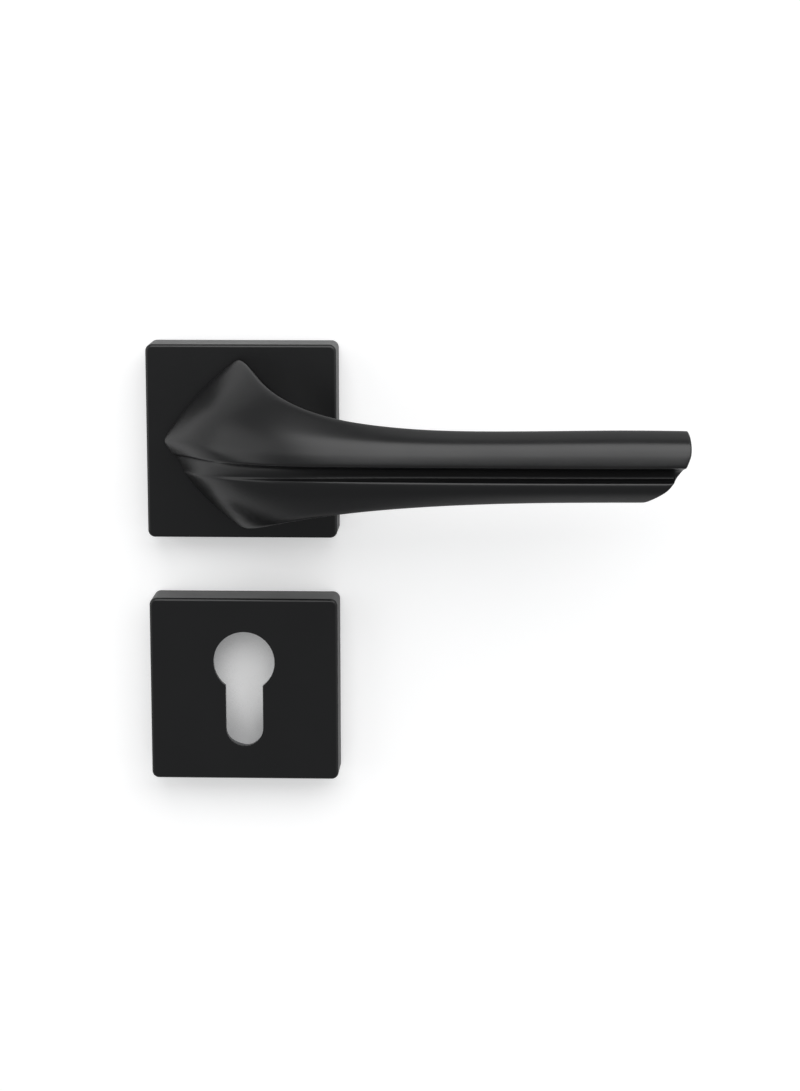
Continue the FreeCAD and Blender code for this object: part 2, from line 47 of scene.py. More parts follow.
def linearColour(hexValue):
    # sRGB hex to the linear values that nodes take
    channels = [int(hexValue[i:i + 2], 16) / 255 for i in (1, 3, 5)]
    return [c / 12.92 if c <= 0.04045 else ((c + 0.055) / 1.055) ** 2.4 for c in channels] + [1.0]


def addNode(tree, kind, settings=None, values=None, links=None):
    node = tree.nodes.new(kind)
    for key, value in (settings or {}).items():
        setattr(node, key, value)
    for key, value in (values or {}).items():
        node.inputs[key].default_value = value
    for key, socket in (links or {}).items():
        tree.links.new(socket, node.inputs[key])
    return node


def spot(x, y, z):
    return Vector((x, y, z)) * mm


def linkObject(name, bm):
    mesh = bpy.data.meshes.new(name)
    bm.to_mesh(mesh)
    bm.free()
    obj = bpy.data.objects.new(name, mesh)
    scene.collection.objects.link(obj)
    return obj


def applyModifiers(obj):
    graph = bpy.context.evaluated_depsgraph_get()
    mesh = bpy.data.meshes.new_from_object(obj.evaluated_get(graph))
    obj.modifiers.clear()
    obj.data = mesh


def subtract(obj, cutter):
    cut = obj.modifiers.new("cut", "BOOLEAN")
    cut.operation = "DIFFERENCE"
    cut.solver = "EXACT"
    cut.object = cutter
    applyModifiers(obj)
    bpy.data.objects.remove(cutter)


def finishPiece(obj, material, body, standsFor, sharpAngle=32):
    obj.data.materials.clear()
    obj.data.materials.append(material)
    obj.data.shade_smooth()
    obj.data.set_sharp_from_angle(angle=math.radians(sharpAngle))
    weighted = obj.modifiers.new("evenFlats", "WEIGHTED_NORMAL")
    weighted.keep_sharp = True
    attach(obj, body)
    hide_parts(*standsFor)
    return obj


def addLathe(bm, profile, steps):
    # profile: (radius, y) pairs in mm, turned about the Y axis
    verts = [bm.verts.new(spot(radius, y, 0)) for radius, y in profile]
    edges = [bm.edges.new(pair) for pair in zip(verts, verts[1:])]
    bmesh.ops.spin(bm, geom=verts + edges, cent=(0, 0, 0), axis=(0, 1, 0), angle=2 * math.pi, steps=steps,
                   use_merge=True, use_normal_flip=False)
    bmesh.ops.remove_doubles(bm, verts=bm.verts, dist=mergeDistance)


def addCylinder(bm, radius, length, place, segments):
    bmesh.ops.create_cone(bm, cap_ends=True, segments=segments, radius1=radius * mm, radius2=radius * mm,
                          depth=length * mm, matrix=place)


def addBlock(bm, centre, width, depth, height):
    size = Matrix.Diagonal(spot(width, depth, height).to_4d())
    bmesh.ops.create_cube(bm, size=1.0, matrix=Matrix.Translation(centre) @ size)


def bevelEdges(bm, edges, width, segments):
    bmesh.ops.bevel(bm, geom=edges, offset=width * mm, offset_type="OFFSET", segments=segments, profile=0.5,
                    affect="EDGES", material=-1, clamp_overlap=True)


def alongY(edge):
    return abs((edge.verts[0].co - edge.verts[1].co).normalized().y) > 0.99


def recalculate(bm):
    bmesh.ops.remove_doubles(bm, verts=bm.verts, dist=mergeDistance)
    bmesh.ops.recalc_face_normals(bm, faces=bm.faces)


def mergedCopy(node, name, bevelWidth):
    # a CAD node's triangles joined into clean faces, with its sharp edges broken
    bm = bmesh.new()
    bm.from_mesh(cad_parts[node].data)
    bmesh.ops.remove_doubles(bm, verts=bm.verts, dist=2 * mergeDistance)
    bmesh.ops.dissolve_limit(bm, angle_limit=math.radians(1), verts=bm.verts, edges=bm.edges)
    obj = linkObject(name, bm)
    if bevelWidth:
        bevel = obj.modifiers.new("brokenEdges", "BEVEL")
        bevel.width = bevelWidth * mm
        bevel.segments = 2
        bevel.limit_method = "ANGLE"
        bevel.angle_limit = math.radians(40)
        bevel.use_clamp_overlap = True
    return obj


# materials

def newMaterial(name):
    material = bpy.data.materials.new(name)
    material.use_nodes = True
    tree = material.node_tree
    tree.nodes.clear()
    output = tree.nodes.new("ShaderNodeOutputMaterial")
    coords = tree.nodes.new("ShaderNodeTexCoord").outputs["Object"]
    return material, tree, output, coords


def makeBlackPowderCoat():
    # satin black polyester powder coat on zinc: near-black, a soft sheen, a faint orange peel and grit
    look = {
        "base": "#0e0e0f", "worn": "#1c1c1d", "rough": 0.28, "roughSpread": 0.03, "gritRough": 0.06,
        "peelMm": 1.1, "peelDepthMm": 0.03, "gritMm": 0.35, "gritDepthMm": 0.01, "handlingMm": 26.3, "wearMm": 0.5,
    }
    material, tree, output, coords = newMaterial("blackPowderCoat")
    peel = addNode(tree, "ShaderNodeTexNoise", {}, {"Scale": 1 / (look["peelMm"] * mm), "Detail": 2.0},
                   {"Vector": coords})
    grit = addNode(tree, "ShaderNodeTexNoise", {}, {"Scale": 1 / (look["gritMm"] * mm), "Detail": 1.0},
                   {"Vector": coords})
    handling = addNode(tree, "ShaderNodeTexNoise", {},
                       {"Scale": 1 / (look["handlingMm"] * mm), "Detail": 4.0, "Roughness": 0.6}, {"Vector": coords})
    # the coat is rubbed a little along edges, where the rounded normal leaves the true one
    trueNormal = addNode(tree, "ShaderNodeNewGeometry").outputs["Normal"]
    rounded = addNode(tree, "ShaderNodeBevel", {"samples": 4}, {"Radius": look["wearMm"] * mm})
    agree = addNode(tree, "ShaderNodeVectorMath", {"operation": "DOT_PRODUCT"}, {},
                    {0: rounded.outputs["Normal"], 1: trueNormal})
    wear = addNode(tree, "ShaderNodeMapRange", {},
                   {"From Min": 0.90, "From Max": 0.995, "To Min": 1.0, "To Max": 0.0},
                   {"Value": agree.outputs["Value"]})
    patch = addNode(tree, "ShaderNodeMath", {"operation": "MULTIPLY"}, {},
                    {0: wear.outputs["Result"], 1: handling.outputs["Fac"]})
    colour = addNode(tree, "ShaderNodeMix", {"data_type": "RGBA"},
                     {"A": linearColour(look["base"]), "B": linearColour(look["worn"])}, {"Factor": patch.outputs[0]})
    rough = addNode(tree, "ShaderNodeMapRange", {},
                    {"From Min": 0.3, "From Max": 0.7, "To Min": look["rough"] - look["roughSpread"],
                     "To Max": look["rough"] + look["roughSpread"]}, {"Value": handling.outputs["Fac"]})
    roughGrit = addNode(tree, "ShaderNodeMath", {"operation": "MULTIPLY_ADD"}, {1: look["gritRough"]},
                        {0: grit.outputs["Fac"], 2: rough.outputs["Result"]})
    gritBump = addNode(tree, "ShaderNodeBump", {}, {"Strength": 0.12, "Distance": look["gritDepthMm"] * mm},
                       {"Height": grit.outputs["Fac"]})
    peelBump = addNode(tree, "ShaderNodeBump", {}, {"Strength": 0.15, "Distance": look["peelDepthMm"] * mm},
                       {"Height": peel.outputs["Fac"], "Normal": gritBump.outputs["Normal"]})
    shader = addNode(tree, "ShaderNodeBsdfPrincipled", {}, {"IOR": 1.5},
                     {"Base Color": colour.outputs["Result"], "Roughness": roughGrit.outputs[0],
                      "Normal": peelBump.outputs["Normal"]})
    tree.links.new(shader.outputs["BSDF"], output.inputs["Surface"])
    return material


def makeMetal(name, base, stain, rough, roughSpread, grainMm, bumpMm, stretch=(1, 1, 1)):
    material, tree, output, coords = newMaterial(name)
    place = addNode(tree, "ShaderNodeMapping", {}, {"Scale": stretch}, {"Vector": coords})
    grain = addNode(tree, "ShaderNodeTexNoise", {}, {"Scale": 1 / (grainMm * mm), "Detail": 3.0},
                    {"Vector": place.outputs["Vector"]})
    cloud = addNode(tree, "ShaderNodeTexNoise", {}, {"Scale": 120.0, "Detail": 5.0, "Roughness": 0.65},
                    {"Vector": coords})
    tint = addNode(tree, "ShaderNodeMapRange", {}, {"From Min": 0.35, "From Max": 0.75},
                   {"Value": cloud.outputs["Fac"]})
    colour = addNode(tree, "ShaderNodeMix", {"data_type": "RGBA"},
                     {"A": linearColour(base), "B": linearColour(stain)}, {"Factor": tint.outputs["Result"]})
    roughness = addNode(tree, "ShaderNodeMapRange", {},
                        {"From Min": 0.3, "From Max": 0.7, "To Min": rough - roughSpread,
                         "To Max": rough + roughSpread}, {"Value": grain.outputs["Fac"]})
    bump = addNode(tree, "ShaderNodeBump", {}, {"Strength": 0.4, "Distance": bumpMm * mm},
                   {"Height": grain.outputs["Fac"]})
    shader = addNode(tree, "ShaderNodeBsdfPrincipled", {}, {"Metallic": 1.0},
                     {"Base Color": colour.outputs["Result"], "Roughness": roughness.outputs["Result"],
                      "Normal": bump.outputs["Normal"]})
    tree.links.new(shader.outputs["BSDF"], output.inputs["Surface"])
    return material


def makePlastic(name, base, shade, rough, poreMm, bumpMm):
    material, tree, output, coords = newMaterial(name)
    pores = addNode(tree, "ShaderNodeTexVoronoi", {"feature": "F1"}, {"Scale": 1 / (poreMm * mm)}, {"Vector": coords})
    cloud = addNode(tree, "ShaderNodeTexNoise", {}, {"Scale": 90.0, "Detail": 4.0}, {"Vector": coords})
    tint = addNode(tree, "ShaderNodeMapRange", {}, {"From Min": 0.3, "From Max": 0.7},
                   {"Value": cloud.outputs["Fac"]})
    colour = addNode(tree, "ShaderNodeMix", {"data_type": "RGBA"},
                     {"A": linearColour(base), "B": linearColour(shade)}, {"Factor": tint.outputs["Result"]})
    roughness = addNode(tree, "ShaderNodeMapRange", {},
                        {"From Min": 0.1, "From Max": 0.7, "To Min": rough - 0.06, "To Max": rough + 0.06},
                        {"Value": pores.outputs["Distance"]})
    bump = addNode(tree, "ShaderNodeBump", {}, {"Strength": 0.3, "Distance": bumpMm * mm},
                   {"Height": pores.outputs["Distance"]})
    shader = addNode(tree, "ShaderNodeBsdfPrincipled", {}, {"IOR": 1.5},
                     {"Base Color": colour.outputs["Result"], "Roughness": roughness.outputs["Result"],
                      "Normal": bump.outputs["Normal"]})
    tree.links.new(shader.outputs["BSDF"], output.inputs["Surface"])
    return material


blackPowderCoat = makeBlackPowderCoat()
# die-cast zinc alloy as it leaves the mould: dull blue-grey, cloudy, slightly pitted
castZinc = makeMetal("castZinc", "#8f9296", "#6f7276", 0.48, 0.08, 0.8, 0.03)
# bright zinc plate, passivated: pale grey with a soft gleam and a faint drawn grain along the part
platedSteel = makeMetal("platedSteel", "#c3c5c6", "#b5b8ba", 0.30, 0.08, 0.5, 0.01, (1, 0.15, 1))
# oiled spring steel: dark, smooth and a little glossy
springSteel = makeMetal("springSteel", "#5e6062", "#3f4143", 0.28, 0.06, 0.4, 0.01)
# black oxide steel: blue-black with a dry sheen
blackOxide = makeMetal("blackOxide", "#26282b", "#18191b", 0.38, 0.08, 0.4, 0.01)
# natural nylon, moulded: warm white and slightly waxy
whiteNylon = makePlastic("whiteNylon", "#dcdad2", "#cdcbc2", 0.45, 1.2, 0.01)
# black nylon, moulded: dark with a dry sheen
blackNylon = makePlastic("blackNylon", "#1b1b1c", "#232324", 0.5, 0.6, 0.015)
# closed-cell foam sheet: dark grey, open pores, no shine
greyFoam = makePlastic("greyFoam", "#56575a", "#48494b", 0.9, 0.7, 0.12)
print("materials made")

# lever handle: a square head turned 45 degrees that sweeps out into a grooved arm

leverValues = {
    "round": 24, "subdivisions": 3, "headBase": -16.5, "neckSteps": 96,
    "grubHoleRadius": 2.05, "grubHoleLength": 30, "grubHoleX": 27, "grubHoleSteps": 40, "grubY": -23.0,
    "baseInsets": (1.2, 0.2),     # how far the head's flat back is drawn in from its corner, ring by ring
    "tipSpineY": -45.0, "tipSpineLow": -8.5, "tipSpineHigh": 5.0,
    "tipRings": ((3.0, 0.0), (0.8, 0.0), (0.2, 0.08), (0.0, 0.5), (-0.02, 1.8)),    # set back, inset
    "keyedRadius": 8.1, "keyedFlat": 7.0, "keyedFront": -8.2, "keyedRear": -6.1,
}
# the turned neck: (radius, y), from inside the head to the journal's end
neckProfile = [(0, -20.5), (10, -20.5), (10, -8.6), (9.5, -8.1), (8, -8.1), (8, -6.2), (7, -6.2), (7, -1.75),
               (6.5, -1.75), (6.5, -0.85), (7, -0.85), (7, -0.7), (6.6, -0.3), (0, -0.3)]
# rails of the head and arm, (x, z, y), one point per section from the head's flat back to the arm's end
topRail = [(0.2, 23.8, -16.5), (0.1, 24.7, -18.0), (2.2, 24.3, -21.5), (4.8, 22.2, -28.0), (8.6, 18.8, -35.0),
           (15.2, 15.2, -40.5), (24.2, 12.0, -43.8), (36.0, 9.7, -45.2), (55.0, 8.0, -46.0), (80.0, 8.1, -46.0),
           (105.0, 8.6, -46.0), (128.0, 8.4, -46.0)]
ridgeRail = [(-20.8, 0.6, -16.5), (-22.1, 0.8, -18.0), (-20.4, 1.2, -21.0), (-16.8, 1.9, -27.5), (-11.5, 2.3, -35.0),
             (-4.0, 1.8, -42.2), (7.0, 1.4, -47.8), (24.0, 1.3, -51.1), (50.0, 1.4, -52.2), (80.0, 1.5, -52.2),
             (105.0, 1.5, -52.2), (128.0, 1.5, -52.2)]
creaseRail = [(-18.0, -3.0, -16.5), (-19.0, -3.0, -18.0), (-17.5, -2.6, -20.9), (-14.0, -1.9, -27.7),
              (-9.3, -1.5, -35.4), (-2.5, -1.4, -42.6), (8.0, -1.3, -48.4), (25.0, -1.1, -51.6), (50.0, -1.0, -52.6),
              (80.0, -1.1, -52.6), (105.0, -1.1, -52.6), (128.0, -0.9, -52.6)]
rimRail = [(-15.2, -7.4, -16.5), (-16.2, -7.8, -18.0), (-15.0, -7.7, -20.2), (-12.2, -7.4, -26.2),
           (-7.6, -6.9, -33.4), (-1.0, -6.5, -39.5), (9.0, -6.2, -44.8), (25.5, -5.8, -48.2), (50.0, -5.7, -49.4),
           (80.0, -5.8, -49.4), (105.0, -5.7, -49.4), (128.0, -5.6, -49.4)]
bottomRail = [(1.4, -22.8, -16.5), (1.4, -24.2, -18.0), (3.0, -23.8, -21.5), (6.0, -22.6, -27.5),
              (10.5, -20.8, -33.5), (16.5, -18.8, -38.5), (25.0, -16.8, -42.0), (37.0, -14.9, -44.0),
              (55.0, -13.1, -45.0), (80.0, -12.0, -45.0), (105.0, -11.8, -45.0), (128.0, -11.7, -45.0)]
backRail = [(21.0, 0.4, -16.5), (22.4, 0.4, -18.0), (22.6, 0.4, -21.0), (23.4, 0.2, -25.0), (25.4, 0.0, -29.5),
            (29.0, -0.2, -33.5), (35.0, -0.6, -37.0), (45.0, -1.0, -39.0), (58.0, -1.4, -39.8), (80.0, -1.7, -40.0),
            (105.0, -1.6, -40.0), (128.0, -1.5, -40.0)]
# how far the skin between two rails stands forward, or bows out, section by section
upperBulge = [0.0, 0.0, 5.0, 6.0, 4.0, 2.5, 1.8, 1.6, 1.7, 1.8, 1.8, 1.8]
lowerBulge = [0.0, 0.0, 3.6, 4.2, 3.2, 2.4, 1.9, 1.8, 1.8, 1.8, 1.8, 1.8]
upperBow = [2.6, 2.6, 0.4, 0.0, 0.2, 0.3, 0.4, 0.5, 0.6, 0.6, 0.6, 0.6]
lowerBow = [1.7, 1.7, 0.6, 0.0, 0.0, 0.0, 0.0, 0.0, 0.0, 0.0, 0.0, 0.0]
hiddenHollow = [1.4, 1.4, 1.2, 0.8, 0.4, 0.0, 0.0, 0.0, 0.0, 0.0, 0.0, 0.0]
# 0 where the section is the square head, 1 where it is the round-backed arm
armShare = [0.0, 0.0, 0.1, 0.2, 0.35, 0.5, 0.7, 0.85, 1.0, 1.0, 1.0, 1.0]
grooveDepth = [0.5, 0.5, 0.5, 0.6, 0.8, 1.1, 1.6, 2.4, 3.2, 3.6, 3.6, 3.6]
tipLine = [(9.2, 123.4), (8.0, 124.3), (6.0, 124.7), (3.0, 124.8), (0.6, 124.2), (-1.5, 123.2), (-3.9, 121.6),
           (-8.2, 118.4), (-10.9, 114.5), (-13.2, 109.0)]    # z and x of the slanted end


def leverSection(i):
    top, ridge, crease, rim, bottom, back = [
        Vector((rail[i][0], rail[i][2], rail[i][1]))
        for rail in (topRail, ridgeRail, creaseRail, rimRail, bottomRail, backRail)]
    arm, up, low, depth = armShare[i], upperBulge[i], lowerBulge[i], grooveDepth[i]
    head = 1 - arm
    grooveTurn = min(1, 3 * arm)
    inward = Vector((0.73 * (1 - grooveTurn), grooveTurn, 0.68 * (1 - grooveTurn))).normalized()
    upperOut = Vector((-0.7 * head, 0, 0.7 * head + arm)) * upperBow[i]
    lowerOut = Vector((-0.7, 0, -0.7)) * lowerBow[i]
    hollow = Vector((-0.7, 0, -0.7)) * hiddenHollow[i]
    forward = Vector((0, -1, 0))
    corner = 0.07 + 0.07 * arm
    swell = 4 * corner * (1 - corner)
    edge = 0.05 + 0.07 * arm
    edgeSwell = 4 * edge * (1 - edge)
    return [
        top,
        top.lerp(ridge, corner) + forward * swell * up + upperOut * swell,
        top.lerp(ridge, 0.50) + forward * up + upperOut,
        top.lerp(ridge, 1 - corner) + forward * swell * (head + 0.6 * arm) * up + upperOut * swell,
        ridge,
        ridge.lerp(crease, 0.75) + forward * 0.1 * arm,
        crease,
        crease.lerp(rim, 0.07) + inward * min(depth, 0.5),
        crease.lerp(rim, 0.22) + inward * depth,
        crease.lerp(rim, 0.55) + inward * depth * 1.05,
        crease.lerp(rim, 0.84) + inward * depth * 0.9,
        crease.lerp(rim, 0.96) + inward * min(depth, 0.4),
        rim,
        rim.lerp(bottom, edge) + forward * edgeSwell * low + lowerOut * edgeSwell,
        rim.lerp(bottom, 0.42) + forward * low + lowerOut,
        rim.lerp(bottom, 0.90 - 0.06 * arm) + forward * 0.45 * low + lowerOut * 0.5,
        bottom,
        bottom.lerp(back, corner) + Vector((0, 0.3, -0.9)) * arm,
        bottom.lerp(back, 0.50) + Vector((0, 1.4, -1.7)) * arm,
        bottom.lerp(back, 0.84) + Vector((0, 0.7, -0.7)) * arm,
        back,
        back.lerp(top, 0.16) + Vector((0, 0.7, 0.7)) * arm,
        back.lerp(top, 0.50) + Vector((0, 1.4, 1.7)) * arm + hollow * 0.5,
        back.lerp(top, 1 - corner) + Vector((0, 0.3, 0.9)) * arm + hollow * 0.6,
    ]


def tipX(z):
    if z >= tipLine[0][0]:
        return tipLine[0][1]
    for (zHigh, xHigh), (zLow, xLow) in zip(tipLine, tipLine[1:]):
        if z >= zLow:
            return xLow + (xHigh - xLow) * (z - zLow) / (zHigh - zLow)
    return tipLine[-1][1]


def tipRing(setBack, inset):
    # the arm's section carried to the slanted end, drawn in towards the section's spine
    near, far = leverSection(-2), leverSection(-1)
    points = []
    for a, b in zip(near, far):
        x = tipX(a.z) - setBack
        point = a.lerp(b, (x - a.x) / (b.x - a.x))
        z = min(max(point.z, leverValues["tipSpineLow"]), leverValues["tipSpineHigh"])
        spine = Vector((x, leverValues["tipSpineY"], z))
        inwards = spine - point
        points.append(point + inwards.normalized() * min(inset, inwards.length * 0.8))
    return points


def extrudeRing(bm, ring, points):
    edges = [bm.edges.get((a, b)) for a, b in zip(ring, ring[1:] + ring[:1])]
    made = set(bmesh.ops.extrude_edge_only(bm, edges=edges)["geom"])
    fresh = [next(e.other_vert(v) for e in v.link_edges if e.other_vert(v) in made) for v in ring]
    for v, point in zip(fresh, points):
        v.co = point * mm
    return fresh


def makeLever():
    bm = bmesh.new()
    base = leverSection(0)
    centre = Vector((0, leverValues["headBase"], 0))
    firstInset, secondInset = leverValues["baseInsets"]
    ring = bmesh.ops.create_circle(bm, cap_ends=True, segments=leverValues["round"], radius=mm)["verts"]
    for v, point in zip(ring, base):
        v.co = (point + (centre - point).normalized() * firstInset) * mm
    ring = extrudeRing(bm, ring, [point + (centre - point).normalized() * secondInset for point in base])
    for i in range(1, len(topRail) - 1):
        ring = extrudeRing(bm, ring, leverSection(i))
    for setBack, inset in leverValues["tipRings"]:
        ring = extrudeRing(bm, ring, tipRing(setBack, inset))
    bmesh.ops.contextual_create(bm, geom=[bm.edges.get((a, b)) for a, b in zip(ring, ring[1:] + ring[:1])])
    recalculate(bm)
    lever = linkObject("leverHandle", bm)
    smooth = lever.modifiers.new("smooth", "SUBSURF")
    smooth.levels = smooth.render_levels = leverValues["subdivisions"]
    applyModifiers(lever)

    # neck, keyed seat and journal, turned, with the two flats and the retaining ring's groove
    bm = bmesh.new()
    addLathe(bm, neckProfile, leverValues["neckSteps"])
    flat = leverValues["keyedFlat"] * mm
    for v in bm.verts:
        keyed = leverValues["keyedFront"] * mm < v.co.y < leverValues["keyedRear"] * mm
        if keyed and math.hypot(v.co.x, v.co.z) < leverValues["keyedRadius"] * mm:
            v.co.x = max(-flat, min(flat, v.co.x))
    recalculate(bm)
    bm.from_mesh(lever.data)
    bm.to_mesh(lever.data)
    bm.free()

    # the grub screw's hole, from the side behind the arm
    bm = bmesh.new()
    place = Matrix.Translation(spot(leverValues["grubHoleX"], leverValues["grubY"], 0))
    addCylinder(bm, leverValues["grubHoleRadius"], leverValues["grubHoleLength"],
                place @ Matrix.Rotation(quarterTurn, 4, "Y"), leverValues["grubHoleSteps"])
    subtract(lever, linkObject("grubCutter", bm))
    return lever


lever = finishPiece(makeLever(), blackPowderCoat, "lever", ["lever_handle"], 40)
print("lever made:", len(lever.data.polygons), "faces")

# the two square covers

coverValues = {
    "width": 54.0, "depth": 12.0, "wall": 1.5, "cornerRadius": 2.0, "edgeRadius": 0.9, "roseHeight": 55.2,
    "escutcheonHeight": 53.0, "escutcheonZ": -71.8, "neckHole": 12.05, "roundRadius": 8.8, "slotWidth": 10.7,
    "keyholeHeight": 33.5, "lipRadius": 0.4, "lipMargin": 4.0,
    "cutterY": -11.0, "neckCutterDepth": 6, "neckCutterSteps": 128, "keyholeCutterDepth": 8, "keyholeCutterSteps": 96,
    "cornerSteps": 10, "edgeSteps": 6, "lipSteps": 3, "footSteps": 24,
}


def makeCover(name, height, z, cutter):
    v = coverValues
    faceY = -v["depth"] * mm
    bm = bmesh.new()
    addBlock(bm, spot(0, -v["depth"] / 2, z), v["width"], v["depth"], height)
    bevelEdges(bm, [e for e in bm.edges if alongY(e)], v["cornerRadius"], v["cornerSteps"])
    front = [e for e in bm.edges if all(abs(p.co.y - faceY) < mergeDistance for p in e.verts)]
    bevelEdges(bm, front, v["edgeRadius"], v["edgeSteps"])
    back = [f for f in bm.faces if f.normal.y > 0.99]
    bmesh.ops.inset_region(bm, faces=back, thickness=v["wall"] * mm, use_even_offset=True)
    deep = bmesh.ops.extrude_face_region(bm, geom=back)
    bmesh.ops.delete(bm, geom=back, context="FACES")
    deepVerts = [part for part in deep["geom"] if isinstance(part, bmesh.types.BMVert)]
    bmesh.ops.translate(bm, vec=spot(0, v["wall"] - v["depth"], 0), verts=deepVerts)
    recalculate(bm)
    cover = linkObject(name, bm)
    subtract(cover, cutter)
    # break the opening's front edge, which lies well inside the cover's outline
    bm = bmesh.new()
    bm.from_mesh(cover.data)
    bmesh.ops.remove_doubles(bm, verts=bm.verts, dist=mergeDistance)
    reach = (v["width"] / 2 - v["lipMargin"]) * mm
    lip = []
    for e in bm.edges:
        onFace = all(abs(p.co.y - faceY) < mergeDistance for p in e.verts)
        inside = all(abs(p.co.x) < reach and abs(p.co.z - z * mm) < reach for p in e.verts)
        if e.is_manifold and onFace and inside and e.calc_face_angle(0) > 1:
            lip.append(e)
    bevelEdges(bm, lip, v["lipRadius"], v["lipSteps"])
    bm.to_mesh(cover.data)
    bm.free()
    return cover


def roundCutter(radius, depth, z, segments):
    bm = bmesh.new()
    place = Matrix.Translation(spot(0, coverValues["cutterY"], z)) @ Matrix.Rotation(quarterTurn, 4, "X")
    addCylinder(bm, radius, depth, place, segments)
    return linkObject("roundCutter", bm)


def keyholeCutter():
    # the euro profile: a round with a round-footed slot below it
    v = coverValues
    halfSlot = v["slotWidth"] / 2
    top = v["escutcheonZ"] + v["keyholeHeight"] / 2
    bottom = v["escutcheonZ"] - v["keyholeHeight"] / 2
    roundZ = top - v["roundRadius"]
    depth = v["keyholeCutterDepth"]
    cutter = roundCutter(v["roundRadius"], depth, roundZ, v["keyholeCutterSteps"])
    bm = bmesh.new()
    # a little deeper than the round, so that their end faces don't lie in one plane
    addBlock(bm, spot(0, v["cutterY"], (roundZ + bottom) / 2), v["slotWidth"], depth + 0.2, roundZ - bottom)
    foot = [e for e in bm.edges if alongY(e) and all(p.co.z < (bottom + 0.01) * mm for p in e.verts)]
    bevelEdges(bm, foot, halfSlot - 0.01, v["footSteps"])
    slot = linkObject("slotCutter", bm)
    join = cutter.modifiers.new("join", "BOOLEAN")
    join.operation = "UNION"
    join.solver = "EXACT"
    join.object = slot
    applyModifiers(cutter)
    bpy.data.objects.remove(slot)
    return cutter


neckCutter = roundCutter(coverValues["neckHole"], coverValues["neckCutterDepth"], 0, coverValues["neckCutterSteps"])
roseCover = makeCover("roseCover", coverValues["roseHeight"], 0, neckCutter)
finishPiece(roseCover, blackPowderCoat, "door_plates", ["rose_cover"])
escutcheonCover = makeCover("escutcheonCover", coverValues["escutcheonHeight"], coverValues["escutcheonZ"],
                            keyholeCutter())
finishPiece(escutcheonCover, blackPowderCoat, "door_plates", ["escutcheon_cover"])
print("covers made")

# screws: turned blanks with a rolled thread and a driver recess

screwValues = {
    "turnSteps": 24, "rowsPerTurn": 6, "tipShare": 0.1, "recessWidth": 0.9, "plateFront": -3.4, "boltHeadFront": -5.8,
    "boltX": 19.0, "boltRadius": 2.0, "boltPitch": 0.7, "boltThreadDepth": 0.4, "boltThreadStart": 9.0,
    "boltEnd": 38.0, "boltPoint": 0.5, "boltRecess": (1.9, 1.4),
    "woodOffset": 17.5, "woodRadius": 1.75, "woodPitch": 1.6, "woodThreadDepth": 0.55, "woodThreadStart": 2.5,
    "woodTaper": 4.0, "woodEnd": 14.6, "woodRecess": (1.7, 1.2),
}
# pan head and countersunk head, (radius, y), from the axis to where the thread takes over
boltHead = [(0, -5.8), (2.5, -5.8), (2.88, -5.72), (3.2, -5.5), (3.42, -5.18), (3.5, -4.8), (3.5, -3.4), (2.0, -3.4)]
woodHead = [(0, -3.4), (3.3, -3.4), (3.4, -3.3), (1.75, -1.75), (1.4, 1.0)]


def turnScrew(name, head, tail, crest, depth, pitch, start, end, taper=0.0):
    # head and tail: (radius, y) profiles in mm; the thread runs between them and may taper to a point
    rows = round((end - start) / pitch * screwValues["rowsPerTurn"])
    levels = [start + (end - start) * i / rows for i in range(rows + 1)]
    tipShare = screwValues["tipShare"]
    middle = [(crest * (tipShare + (1 - tipShare) * min(1, (end - y) / taper) if taper else 1), y) for y in levels]
    bm = bmesh.new()
    addLathe(bm, head + middle + tail, screwValues["turnSteps"])
    for v in bm.verts:
        y = v.co.y / mm
        across = Vector((v.co.x, 0, v.co.z)) / mm
        if start < y < end and across.length > 0.1:
            # a V-shaped thread: the radius falls and rises once in each pitch, and runs out at both ends
            phase = (y / pitch + math.atan2(across.z, across.x) / (2 * math.pi)) % 1
            runOut = min(1, (y - start) / pitch, (end - y) / pitch)
            sink = min(depth, across.length * 0.5) * abs(2 * phase - 1) * runOut
            v.co -= across.normalized() * sink * mm
    recalculate(bm)
    return linkObject(name, bm)


def cutRecess(screw, front, reach, depth):
    narrow = screwValues["recessWidth"]
    for width, height in ((2 * reach, narrow), (narrow, 2 * reach)):
        bm = bmesh.new()
        addBlock(bm, spot(0, front, 0), width, 2 * depth, height)
        subtract(screw, linkObject("recessCutter", bm))


def cutHexSocket(screw, front, acrossFlats, depth):
    bm = bmesh.new()
    place = Matrix.Translation(spot(0, front, 0)) @ Matrix.Rotation(quarterTurn, 4, "X")
    addCylinder(bm, acrossFlats / math.sqrt(3), 2 * depth, place, 6)
    subtract(screw, linkObject("socketCutter", bm))


def placeCopies(name, pattern, places):
    bm = bmesh.new()
    for place in places:
        bm.from_mesh(pattern.data)
        bm.verts.ensure_lookup_table()
        bmesh.ops.transform(bm, matrix=place, verts=bm.verts[-len(pattern.data.vertices):])
    return linkObject(name, bm)


